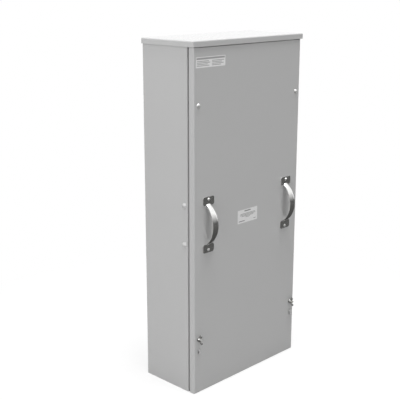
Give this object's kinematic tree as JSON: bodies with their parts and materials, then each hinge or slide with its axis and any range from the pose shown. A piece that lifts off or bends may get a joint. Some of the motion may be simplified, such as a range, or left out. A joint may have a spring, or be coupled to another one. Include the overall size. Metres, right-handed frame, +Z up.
{
  "type": "electrical termination cabinet",
  "caption": "Tall wall-hung sheet-steel termination cabinet with a rain hood, a pull-off cover with bow handles and sealable wing nuts, and bus bars with cable lugs inside.",
  "frame": {"origin": "on the base plane, midway across the cabinet and midway between the front of the handles and the back", "axes": "+Z up, +Y towards the back that goes on the wall, so the cover faces -Y, +X to the right as seen from the front"},
  "size_m": [0.4606, 0.239, 1.016],
  "materials": {
    "grey_paint": "satin",
    "bright_steel": "polished",
    "zinc_plate": "satin",
    "plated_aluminium": "satin",
    "insulating_board": "matte"
  },
  "bodies": {
    "enclosure": {"body_wrapper": "grey_paint", "bottom_pan": "grey_paint", "header": "grey_paint", "hood": "grey_paint", "sealing_studs": "zinc_plate", "nut_plates": "zinc_plate", "carriage_bolts": "grey_paint", "carriage_nuts": "zinc_plate", "bracket_left": "zinc_plate", "bracket_right": "zinc_plate", "cross_bar_upper": "insulating_board", "cross_bar_lower": "insulating_board", "bracket_bolts": "zinc_plate", "bracket_nuts": "zinc_plate", "bus_bar_a": "plated_aluminium", "bus_bar_b": "plated_aluminium", "bus_bar_c": "plated_aluminium", "neutral_bar": "plated_aluminium", "bar_bolts": "zinc_plate", "bar_nuts": "zinc_plate", "lug_a": "plated_aluminium", "lug_b": "plated_aluminium", "lug_c": "plated_aluminium", "lug_neutral": "plated_aluminium", "lug_set_screws": "zinc_plate", "lug_bolts": "zinc_plate", "lug_nuts": "zinc_plate", "ground_bar": "plated_aluminium", "ground_standoffs": "zinc_plate", "ground_screws": "zinc_plate", "terminal_screws": "zinc_plate"},
    "cover": {"cover": "grey_paint", "handle_left": "bright_steel", "handle_right": "bright_steel", "handle_screws": "bright_steel", "handle_nuts": "zinc_plate", "cover_screws": "bright_steel", "screw_rings": "zinc_plate"},
    "left_wing_nut": {"wing_nut_left": "bright_steel"},
    "right_wing_nut": {"wing_nut_right": "bright_steel"}
  },
  "joints": [
    {"name": "cover_pull", "type": "slide", "parent": "enclosure", "child": "cover", "axis": [0, -1, 0], "range_m": [0, 0.3]},
    {"name": "left_wing_nut_turn", "type": "hinge", "parent": "cover", "child": "left_wing_nut", "pos_m": [-0.208, -0.0835, 0.1695], "axis": [0, -1, 0], "continuous": true},
    {"name": "right_wing_nut_turn", "type": "hinge", "parent": "cover", "child": "right_wing_nut", "pos_m": [0.208, -0.0835, 0.1695], "axis": [0, -1, 0], "continuous": true}
  ]
}
